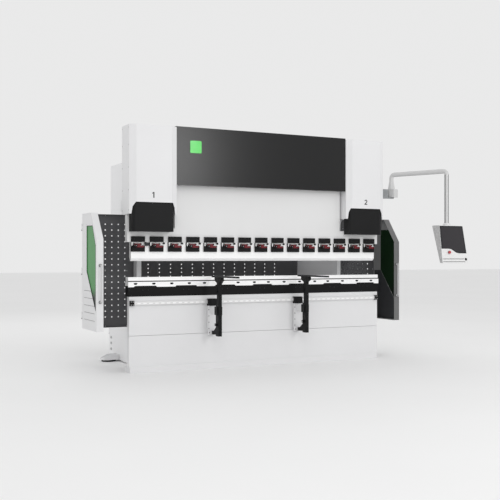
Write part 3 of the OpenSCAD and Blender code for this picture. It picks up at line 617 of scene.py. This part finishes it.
for side_, sg in (("left", -1), ("right", 1)):
    s = Shape()
    edge = WIN + [WIN[0]]
    for (a, b), (c_, d) in zip(edge, edge[1:]):
        s.tube([(sg * 1948.6, a, b), (sg * 1948.6, c_, d)], 3.2, 10)
        s.turn((sg * 1945.4, a, b), (sg, 0, 0), [(0, 3.2), (5, 3.2), (6.2, 2.4)], 12)
    s.put(side_ + "_window_gasket", side_ + "_door", "rubber")
    # a thin liner behind the louvres, a dark sheet of painted shade: grey on the left door, darker on the right
    s = Shape()
    s.prism("x", sg * 1944.8, sg * 1946.2, [(30, 462), (548, 462), (548, 1078), (412, 1078), (60, 650), (30, 640)])
    for y, z in ((46, 478), (290, 478), (532, 478), (532, 770), (532, 1062), (430, 1062), (240, 838)):
        s.dome((sg * 1944.9, y, z), (-sg, 0, 0), 4)
    s.put(side_ + "_door_shade_liner", side_ + "_door", "groove_and_shade" if sg > 0 else "door_inner_shade")
    s = Shape()
    for y, z in along([(407, 1600), (162, 1595), (40, 1368), (40, 664), (407, 1072)], 130):
        s.dome((sg * 1949.9, y, z), (sg, 0, 0), 4.2)
    for y, z in along([(400, 1600), (158, 1595), (37, 1372)], 160, False):
        s.dome((sg * 1941.9, y + 2, z - 7), (-sg, 0, 0), 4)
    s.put(side_ + "_window_rivets", side_ + "_door", "zinc")
    s = Shape()
    for hz in (600, 1090, 1580):
        for z in (hz - 20, hz + 20):
            s.socket((sg * 1949.9, 574, z), (sg, 0, 0), 3.6, 2.6)
    s.put(side_ + "_hinge_screws", side_ + "_door", "zinc")
    s = Shape()
    for hz in (600, 1090, 1580):
        s.dome((sg * 1948, 593, hz + 32), (0, 0, 1), 6)
    for x in (1440, 1690, 1925):
        for z in (468, 1090, 1712):
            s.dome((sg * x, 559.9, z), (0, -1, 0), 6)
            s.hexnut((sg * x, 564.1, z), (0, 1, 0), 6.5)
    s.put(side_ + "_panel_screws", "frame", "zinc")
    s = Shape()
    for z in (768, 1156):
        s.turn((sg * 1908, 19.8, z), (0, -1, 0), [(0, 17), (2.4, 17), (3.4, 15.6), (3.4, 13.2), (2.0, 13.2)], 24)
    for z in (762, 1162):
        s.turn((sg * 1908, -14, z), (0, 0, 1), [(0, 8.25), (1.0, 8.5), (2.4, 8.5), (3.4, 8.25)], 24)
    s.put(side_ + "_handle_rosettes", side_ + "_door", "dark_plastic")
    # magnetic catch at the door's front edge
    s = Shape()
    s.block(sg * 1909 - 22, sg * 1909 + 22, 24.2, 44, 1010, 1046, 3)
    s.block(sg * 1909 - 14, sg * 1909 + 14, 43.8, 52, 1016, 1040, 2)
    s.put(side_ + "_door_catch", side_ + "_door", "dark_plastic", 0.8)

# ---------------------------------------------------------------- pendant
TILT = math.atan2(80, 440)
HX = sum(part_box("pendant_head")[i][0] for i in (0, 1)) * 500


def face(u, z, h):
    return (HX + u, -766 - (1620 - z) * 80 / 440 - h * math.cos(TILT), z + h * math.sin(TILT))


OUT = (0, -math.cos(TILT), math.sin(TILT))


def on_head(s, pts, h0, h1):
    """An outline of [sideways, height] points on the head's sloped face, from h0 to h1 above it."""
    lo = [s.bm.verts.new(P(*face(u, z, h0))) for u, z in pts]
    hi = [s.bm.verts.new(P(*face(u, z, h1))) for u, z in pts]
    s.bm.faces.new(lo[::-1])
    s.bm.faces.new(hi)
    for i in range(len(pts)):
        j = (i + 1) % len(pts)
        s.bm.faces.new((lo[i], lo[j], hi[j], hi[i]))


s = Shape()
on_head(s, [(-150, 1596), (150, 1596), (160, 1312), (22, 1312), (-24, 1346), (-158, 1352)], 0.85, 1.35)
s.put("pendant_display", "pendant_head", "display")
s = Shape()
for z, w, u in ((1221, 6, 138), (1189, 5, 150)):
    on_head(s, [(-180, z), (u, z), (u, z + w), (-180, z + w)], 0.05, 0.8)
s.put("pendant_trim_lines", "pendant_head", "mark")
s = Shape()
s.turn(face(-78, 1300, 0.1), OUT, [(0, 10.2), (0, 18), (1.6, 18), (2.4, 16.8), (2.4, 10.2)], 32, ring=True)
s.put("estop_collar", "pendant_head", "plastic")
s = Shape()
s.turn(face(164, 1220, 0.05), OUT, [(0, 16), (1.6, 16), (2.2, 15), (2.2, 12.5), (4.4, 11.5), (5.0, 10), (5.2, 6)], 32)
s.put("pendant_selector", "pendant_head", "rubber")
HY = -750 * math.sin(math.radians(66.2))
s = Shape()
s.turn((HX, HY, 1620.3), (0, 0, 1), [(0, 26.6), (0, 41), (3, 42), (20, 42), (27, 36), (29, 30), (29, 26.6)], 40, ring=True)
s.put("pendant_collar", "pendant_head", "case")
s = Shape()
for a in range(0, 360, 90):
    dx, dy = math.cos(math.radians(a + 45)), math.sin(math.radians(a + 45))
    s.socket((HX + 41.6 * dx, HY + 41.6 * dy, 1634), (dx, dy, 0), 3.4, 2.4)
for u in (-150, 150):
    for z in (1470, 1300):
        s.dome((HX + u, -640 - (1606 - z) * 162 / 426 + 0.3 + (0.3 if z else 0), z), (0, math.cos(0.36), -math.sin(0.36)), 4.5)
s.put("pendant_head_screws", "pendant_head", "zinc")

AX, AY = math.cos(math.radians(-66.2)), math.sin(math.radians(-66.2))
PX = 1818.0


def arm_pt(t, side, z):
    return (PX + AX * t - AY * side, AY * t + AX * side, z)


# dark strips along the drop tube's side and front and along the arm's top and underside: painted reflection and painted
# shade of the glossy tube
s = Shape()
for dx, dy, w in ((0.234, -0.972, 9.0), (-0.99, -0.14, 11.0)):
    qx, qy = -dy, dx
    x0, y0_ = HX + 24.8 * dx, HY + 24.8 * dy
    pts = [(x0 + qx * a + dx * b, y0_ + qy * a + dy * b) for a, b in ((-w / 2, 0), (w / 2, 0), (w / 2 - 0.6, 1.7), (-w / 2 + 0.6, 1.7))]
    s.prism("z", 1652, 2226, pts)
s.put("pendant_tube_painted_reflection_strips", "pendant_arm", "groove_and_shade")
s = Shape()
for side, z, w in ((0, 2271 + 24.8, 8.0), (0, 2271 - 24.8, 12.0)):
    up = 1 if z > 2271 else -1
    lo = [s.bm.verts.new(P(*arm_pt(44, q, z + up * h))) for q, h in ((-w / 2, 0), (w / 2, 0), (w / 2 - 0.6, 1.7), (-w / 2 + 0.6, 1.7))]
    hi = [s.bm.verts.new(P(*arm_pt(706, q, z + up * h))) for q, h in ((-w / 2, 0), (w / 2, 0), (w / 2 - 0.6, 1.7), (-w / 2 + 0.6, 1.7))]
    s.bm.faces.new(lo[::-1])
    s.bm.faces.new(hi)
    for i in range(4):
        s.bm.faces.new((lo[i], lo[(i + 1) % 4], hi[(i + 1) % 4], hi[i]))
s.put("pendant_arm_painted_reflection_strips", "pendant_arm", "groove_and_shade")
s = Shape()
for t in (40, 710):
    s.turn(arm_pt(t, 0, 2271), (AX, AY, 0), [(-3, 26.1), (-2, 27.6), (2, 27.6), (3, 26.1)], 32)
s.turn(arm_pt(0, 0, 2231), (0, 0, 1), [(-3, 26.1), (-2, 27.6), (2, 27.6), (3, 26.1)], 32)
s.turn((HX, HY, 2231), (0, 0, 1), [(-3, 26.1), (-2, 27.6), (2, 27.6), (3, 26.1)], 32)
s.put("pendant_elbow_rings", "pendant_arm", "tube")
s = Shape()
for a in (0, 90, 180, 270):
    dx, dy = math.cos(math.radians(a - 21)), math.sin(math.radians(a - 21))
    s.socket((PX + 49.6 * dx, 49.6 * dy, 2040), (dx, dy, 0), 6, 3)
s.put("pendant_hub_screws", "pendant_arm", "oxide")
s = Shape()
for i in range(7):
    x = 1644 + 13 * i
    s.prism("z", 1983, 2079, [(x, -41.8), (x + 1.2, -44.6), (x + 5.8, -44.6), (x + 7, -41.8)])
    s.prism("z", 1983, 2079, [(x, 41.8), (x + 1.2, 44.6), (x + 5.8, 44.6), (x + 7, 41.8)])
s.put("pendant_bracket_ribs", "frame", "plastic")
s = Shape()
for y in (-51, 51):
    for z in (1976, 2034, 2091):
        s.hexnut((1634.9, y, z), (1, 0, 0), 6.5)
s.put("pendant_bracket_bolts", "frame", "zinc")

# ---------------------------------------------------------------- frame, feet and back
s = Shape()
for sg in (-1, 1):
    s.hexnut((sg * 1470, 110, 63.9), (0, 0, 1), 17, stud=14)
    s.hexnut((sg * 1470, 1160, 35.9), (0, 0, 1), 17, stud=14)
    for y in (1120, 1200):
        s.hexnut((sg * 1384, y, 35.9), (0, 0, 1), 9)
s.put("anchor_nuts", "frame", "zinc")
s = Shape()
for sg in (-1, 1):
    for face_x, d in ((1357.9, 1), (1304.1, -1)):
        s.turn((sg * face_x, 700, 2282), (sg * d, 0, 0), [(0, 30.4), (0, 48), (3.5, 48), (5, 46.5), (5, 30.4)], 40, ring=True)
    for z in (2120, 2205, 2290):
        s.hexnut((sg * 1357.9, 290, z), (sg, 0, 0), 13)
    for z in (120, 190, 260):
        s.hexnut((sg * 1357.9, 1409, z), (sg, 0, 0), 13)
    for z in (470, 560, 650, 740):
        s.hexnut((sg * 1357.9, 110, z), (sg, 0, 0), 13)
s.put("frame_bolts", "frame", "zinc")
s = Shape()
for i in range(9):
    x = -1330 + 332.5 * i
    for z in (314, 1546):
        s.dome((x, 1497.9, z), (0, 1, 0), 6)
for z in (520, 740, 960, 1180, 1400):
    for x in (-1345, 1345):
        s.dome((x, 1497.9, z), (0, 1, 0), 6)
s.put("rear_guard_screws", "frame", "zinc")

# oil tank: lid bolts, filler cap, sight glass, drain, return filter
s = Shape()
for i in range(11):
    for y in (343, 842):
        s.hexnut((-690 + 138 * i, y, 2327.9), (0, 0, 1), 6.5)
for y in (470, 595, 720):
    for x in (-704, 704):
        s.hexnut((x, y, 2327.9), (0, 0, 1), 6.5)
s.put("tank_lid_bolts", "frame", "zinc")
s = Shape()
s.turn((500, 420, 2352.1), (0, 0, 1), [(0, 42), (4, 44), (20, 44), (26, 40), (28, 24)], 12)
s.turn((-420, 500, 2328.1), (0, 0, 1), [(0, 62), (8, 62), (8, 46), (70, 46), (78, 40), (80, 18), (88, 16), (92, 12)], 32)
s.turn((-560, 700, 2328.1), (0, 0, 1), [(0, 30), (6, 30), (6, 20), (30, 20), (30, 32), (52, 34), (60, 28), (62, 12)], 28)
s.put("tank_caps", "frame", "dark_plastic")
s = Shape()
s.turn((-600, 852, 2010), (0, 0, 1), [(0, 8), (1, 9), (179, 9), (180, 8)], 20)
s.put("tank_sight_glass", "frame", "sight")
s = Shape()
for z in (1998, 2190):
    s.block(-614, -586, 839.8, 866, z, z + 14, 3, "z")
    s.hexnut((-600, 865.8, z + 7), (0, 1, 0), 6)
s.hexnut((0, 839.8, 1930), (0, 1, 0), 15, 14)
s.put("tank_fittings", "frame", "brass")
# welded ribs on the tank's back
s = Shape()
for x in (-350, 0, 350):
    s.block(x - 14, x + 14, 839.8, 848, 1930 if x else 1970, 2300, 5)
s.put("tank_ribs", "frame", "tank", 1.0)

# pump and motor: cooling fins, fan cowl, terminal box, coupling bolts
s = Shape()
for i in range(21):
    x = 18 + 17 * i
    s.turn((x, 585, 2453), (1, 0, 0), [(0, 119.5), (0.6, 131), (3.4, 131), (4, 119.5)], 48, ring=True)
s.put("motor_fins", "frame", "motor")
s = Shape()
for r in (30, 52, 74, 96):
    s.turn((429.9, 585, 2453), (1, 0, 0), [(0, r - 4), (0, r + 4), (3, r + 3), (3, r - 3)], 40, ring=True)
for a in range(0, 180, 45):
    dy, dz = math.cos(math.radians(a)), math.sin(math.radians(a))
    s.tube([(431, 585 - 104 * dy, 2453 - 104 * dz), (431, 585 + 104 * dy, 2453 + 104 * dz)], 2.6, 8)
s.turn((384, 585, 2453), (1, 0, 0), [(0, 111.6), (1, 114.5), (40, 114.5), (42, 111.6)], 48, ring=True)
s.put("motor_fan_grille", "frame", "dark_plastic")
s = Shape()
for x in (130, 250):
    for y in (545, 625):
        s.socket((x, y, 2609.9), (0, 0, 1), 4.2, 3)
for a in range(30, 390, 60):
    dy, dz = math.cos(math.radians(a)), math.sin(math.radians(a))
    s.hexnut((-0.1, 585 + 98 * dy, 2453 + 98 * dz), (-1, 0, 0), 8)
    s.hexnut((-80.1, 585 + 70 * dy, 2453 + 70 * dz), (-1, 0, 0), 6) if a % 120 == 30 else None
for x in (60, 310):
    for y in (500, 670):
        s.hexnut((x, y, 2351.9), (0, 0, 1), 9)
s.put("motor_bolts", "frame", "zinc")
s = Shape()
s.turn((259.9, 585, 2585), (1, 0, 0), [(0, 14, 1), (8, 14, 1), (8, 11), (16, 11), (18, 9), (18, 5), (12, 5)], 24)
s.turn((-200.1, 585, 2453), (-1, 0, 0), [(0, 34), (4, 34), (5, 30), (5, 22, 1), (12, 22, 1), (13, 18)], 24)
s.put("motor_glands", "frame", "dark_plastic")

# hydraulic lines: union nuts beside every elbow block, coils on the valve blocks
s = Shape()
s.hexnut((-140, 200.2, 2453), (0, 1, 0), 21, 16, washer=False)
for x, d in ((-162.6, -1), (-117.4, 1)):
    s.hexnut((x, 180, 2453), (d, 0, 0), 21, 16, washer=False)
for sg in (-1, 1):
    s.hexnut((sg * 1337.4, 180, 2453), (-sg, 0, 0), 21, 16, washer=False)
    s.hexnut((sg * 1358, 159.4, 2453), (0, -1, 0), 21, 16, washer=False)
    s.hexnut((sg * 1358, 125.2, 2453), (0, 1, 0), 21, 14, washer=False)
s.put("pipe_nuts", "frame", "pipe")
s = Shape()
for sg in (-1, 1):
    for dx in (-38, 38):
        s.turn((sg * 1358 + dx, 35, 2536), (0, 0, 1), [(0, 28), (2, 30), (46, 30), (48, 28), (48, 24.2), (0, 24.2)], 28, ring=True)
        s.block(sg * 1358 + dx - 13, sg * 1358 + dx + 13, 64, 92, 2546, 2574, 3)
s.put("valve_coils", "frame", "dark_plastic")
s = Shape()
for sg in (-1, 1):
    for dx in (-38, 38):
        s.hexnut((sg * 1358 + dx, 35, 2599.9), (0, 0, 1), 12)
    for dx in (-64, 64):
        for dy in (-54, 54):
            s.socket((sg * 1358 + dx, 55 + dy, 2519.9), (0, 0, 1), 7, 7)
    for a in range(0, 360, 45):
        s.socket((sg * 1358 + 96 * math.cos(math.radians(a)), 55 + 96 * math.sin(math.radians(a)), 1890.1), (0, 0, -1), 8, 8)
s.put("valve_and_cylinder_screws", "frame", "oxide")
# flange screws of the rods where they meet the ram
s = Shape()
for sg in (-1, 1):
    for a in range(0, 360, 60):
        s.socket((sg * 1358 + 68 * math.cos(math.radians(a)), 55 + 68 * math.sin(math.radians(a)), 1599.9), (0, 0, 1), 7.5, 8)
s.put("rod_flange_screws", "ram", "oxide")

# ---------------------------------------------------------------- cabinet
s = Shape()
s.block(1367, 1370, 668, 1124, 530, 1620, 6, "x")
s.put("cabinet_backplate", "frame", "galv")
s = Shape()
for z in (700, 960, 1230, 1460):
    s.prism("y", 690, 1100, [(1370, z - 17), (1376, z - 17), (1377, z - 14), (1377, z + 14), (1376, z + 17), (1370, z + 17), (1370, z + 12.5), (1373.5, z + 12.5), (1373.5, z - 12.5), (1370, z - 12.5)])
s.put("cabinet_rails", "frame", "zinc")
s = Shape()
for z in (600, 830, 1095, 1345, 1560):
    s.block(1370.2, 1428, 690, 1100, z - 24, z + 24, 3)
for y in (668.5, 1102):
    s.block(1370.2, 1428, y, y + 21, 560, 1600, 3, "z")
s.put("cabinet_ducts", "frame", "duct", 1.0)
s = Shape()
for z, n, w, h, d in ((1460, 9, 18, 82, 66), (960, 6, 45, 86, 92), (700, 14, 8, 62, 44)):
    for i in range(n):
        y = 700 + i * (w + 2)
        s.block(1377.2, 1377 + d, y, y + w, z - h / 2, z + h / 2, 2.5)
        s.block(1377 + d - 0.2, 1377 + d + 9, y + w * 0.2, y + w * 0.8, z - h * 0.22, z + h * 0.22, 1.5)
s.put("cabinet_modules", "frame", "dark_plastic", 0.8)
s = Shape()
for y, w, z0, z1 in ((706, 96, 1138, 1312), (812, 120, 1138, 1312), (944, 70, 1150, 1300), (1024, 64, 1150, 1300)):
    s.block(1377.2, 1500, y, y + w, z0, z1, 5)
    for i in range(7):
        s.block(1499.8, 1502.5, y + 8, y + w - 8, z0 + 14 + 12 * i, z0 + 20 + 12 * i, 1)
for i in range(5):
    s.block(1377.2, 1440, 940 + 31 * i, 966 + 31 * i, 1424, 1500, 3)
s.put("cabinet_drives", "frame", "plastic", 1.0)
s = Shape()
for i in range(14):
    y = 704 + 10 * i
    s.tube([(1412, y, 676), (1424, y, 660), (1424, y + 1, 632), (1412, y + 1, 618)], 1.6, 6)
for i in range(6):
    y = 714 + 47 * i
    for dy in (0, 8, 16):
        s.tube([(1452, y + dy, 916), (1462, y + dy, 896), (1452, y + dy, 870), (1424, y + dy, 852)], 1.8, 6)
s.put("cabinet_wires", "frame", "rubber")
s = Shape()
s.prism("x", 1843.9, 1847, [(652, 1030), (684, 1030), (688, 1034), (688, 1166), (684, 1170), (652, 1170), (648, 1166), (648, 1034)])
s.turn((1846.9, 668, 1140), (1, 0, 0), [(0, 12), (6, 12), (7, 11), (7, 7), (5, 7)], 24)
s.prism("x", 1846.9, 1866, [(660, 1050), (664, 1046), (672, 1046), (676, 1050), (676, 1118), (672, 1122), (664, 1122), (660, 1118)])
s.put("cabinet_handle", "cabinet_door", "dark_plastic", 0.8)
s = Shape()
for z in (560, 1590):
    for y in (690, 1100):
        s.dome((1843.9, y, z), (1, 0, 0), 5)
s.turn((1843.9, 900, 1500), (1, 0, 0), [(0, 46), (1.5, 46), (2.5, 44.5), (2.5, 30), (10, 28), (12, 25)], 36)
s.put("cabinet_door_fittings", "cabinet_door", "zinc")
s = Shape()
for i in range(9):
    s.prism("y", 760, 1040, [(1843.9, 600 + 17 * i), (1849.5, 604 + 17 * i), (1849.5, 605.5 + 17 * i), (1843.9, 611 + 17 * i)])
s.put("cabinet_louvres", "cabinet_door", "white")
s = Shape()
s.turn((1640, 1175.9, 560), (0, 1, 0), [(0, 12.2), (0, 25), (8, 24), (14, 20), (16, 17), (16, 12.2)], 32, ring=True)
s.put("cabinet_gland_nut", "frame", "dark_plastic")

# ---------------------------------------------------------------- back gauge
s = Shape()
for z in (896, 920, 944):
    s.block(-1149, 1149, 479.2, 480.4, z - 3, z + 3, 1)
s.put("gauge_beam_slots", "gauge_beam", "groove_and_shade")
s = Shape()
for sg in (-1, 1):
    s.block(sg * 1152 - 2.2, sg * 1152 + 2.2, 482, 553, 882, 958, 6, "x")
    for y in (495, 540):
        for z in (895, 945):
            s.socket((sg * 1154.2, y, z), (sg, 0, 0), 4.2, 3)
    for z in (872, 950):
        for x in (921, 939):
            s.socket((sg * x, 480.1, z), (0, -1, 0), 3.6, 3) if z < 875 else None
s.put("gauge_beam_caps", "gauge_beam", "dark_plastic")
for side_, xc in (("left", -600), ("right", 600)):
    s = Shape()
    for x in (-28, 28):
        for y in (486, 550):
            s.socket((xc + x, y, 984.9), (0, 0, 1), 5, 5)
    for x in (-26, 26):
        s.socket((xc + x, 470.1, 930), (0, -1, 0), 5, 4)
    for y in (330, 380, 430):
        s.socket((xc, y, 993.9), (0, 0, 1), 4.4, 4)
    s.put(side_ + "_finger_screws", side_ + "_finger", "oxide")
    s = Shape()
    s.turn((xc + 40.1, 520, 973), (1, 0, 0), [(0, 7), (12, 7), (12, 16), (14, 18), (26, 18), (28, 16), (28.5, 9)], 28)
    s.put(side_ + "_finger_knob", side_ + "_finger", "dark_plastic")
s = Shape()
for sg in (-1, 1):
    for x in (916, 944):
        for z in (760, 800):
            s.socket((sg * x, 566.1, z), (0, -1, 0), 4.6, 4)
        for z in (960, 985):
            s.socket((sg * x, 639.9, z), (0, 1, 0), 4.6, 4)
    for x in (966, 980, 1020, 1034):
        for y in (584, 622):
            s.socket((sg * x, y, 739.9), (0, 0, 1), 4.6, 4)
for x in (-30, 30):
    for z in (668, 712):
        s.socket((x, 560.1, z), (0, -1, 0), 5, 5)
s.put("gauge_carriage_screws", "gauge_carriage", "oxide")
s = Shape()
for sg in (-1, 1):
    for i in range(14):
        s.turn((sg * 1000, 180 + 60 * i, 699.9), (0, 0, 1), [(0, 4.8), (0.7, 4.6), (0.9, 4.0), (0.9, 2.2), (0.5, 2.0)], 16)
s.put("gauge_rail_plugs", "frame", "oxide")
s = Shape()
for i in range(9):
    s.prism("z", 648, 732, [(-45.2, 1072 + 11 * i), (-47.5, 1073.5 + 11 * i), (-47.5, 1076.5 + 11 * i), (-45.2, 1078 + 11 * i)])
    s.prism("z", 648, 732, [(45.2, 1072 + 11 * i), (47.5, 1073.5 + 11 * i), (47.5, 1076.5 + 11 * i), (45.2, 1078 + 11 * i)])
s.turn((0, 1110, 734.9), (0, 0, 1), [(0, 16), (10, 16), (12, 14), (12, 9), (24, 9), (26, 7)], 24)
s.turn((0, 1150, 734.9), (0, 0, 1), [(0, 12), (8, 12), (10, 10), (10, 7), (20, 7), (22, 5)], 24)
s.put("gauge_motor_details", "frame", "dark_plastic")
s = Shape()
for x in (-34, 34):
    for z in (652, 728):
        s.socket((x, 1180.1, 656 if z < 700 else 724), (0, 1, 0), 4.2, 4)
for x in (-28, 28):
    for z in (662, 718):
        s.socket((x, 125.1, z), (0, 1, 0), 5, 5)
s.put("gauge_bearing_screws", "frame", "zinc")


# ---------------------------------------------------------------- camera, light, floor
cam = bpy.data.objects.new("camera", bpy.data.cameras.new("camera"))
bpy.context.scene.collection.objects.link(cam)
cam.location = (-4.4794, -9.3076, 1.2408)
cam.rotation_euler = (math.radians(90), 0, math.radians(-26.5))
cam.data.lens = 60.95
cam.data.sensor_width = 36
cam.data.shift_y = 0.015
cam.data.clip_end = 200
bpy.context.scene.camera = cam

world = bpy.data.worlds.new("studio")
bpy.context.scene.world = world
world.use_nodes = True
world.node_tree.nodes["Background"].inputs["Color"].default_value = (1.0, 1.0, 1.0, 1)
world.node_tree.nodes["Background"].inputs["Strength"].default_value = 0.82


def softbox(name, place, target, size, power):
    lamp = bpy.data.lights.new(name, "AREA")
    lamp.shape = "RECTANGLE"
    lamp.size, lamp.size_y = size
    lamp.energy = power
    o = bpy.data.objects.new(name, lamp)
    bpy.context.scene.collection.objects.link(o)
    o.location = place
    o.rotation_euler = (Vector(target) - Vector(place)).to_track_quat("-Z", "Y").to_euler()
    return o


softbox("key", (-3.5, -8.0, 6.5), (0, 0, 1.2), (5, 3), 75)
softbox("fascia_glow", (2.2, -9.3, 3.4), (-1.0, -0.7, 2.3), (1.1, 2.2), 90)
softbox("fill_right", (7.0, -5.0, 4.0), (1.0, 0, 1.2), (4, 3), 30)
softbox("back", (0.0, 7.0, 6.0), (0, 0, 1.5), (6, 3), 60)

floor_mesh = bpy.data.meshes.new("floor")
bm = bmesh.new()
bmesh.ops.create_grid(bm, x_segments=1, y_segments=1, size=60)
bm.to_mesh(floor_mesh)
bm.free()
floor = bpy.data.objects.new("floor", floor_mesh)
bpy.context.scene.collection.objects.link(floor)
floor.data.materials.append(material("studio_floor", srgb(240), 0.85, vary=0.01, patch=0.4, grain=60, bump=0.02))
floor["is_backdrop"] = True

bpy.context.scene.view_settings.view_transform = "Standard"

lo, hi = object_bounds()
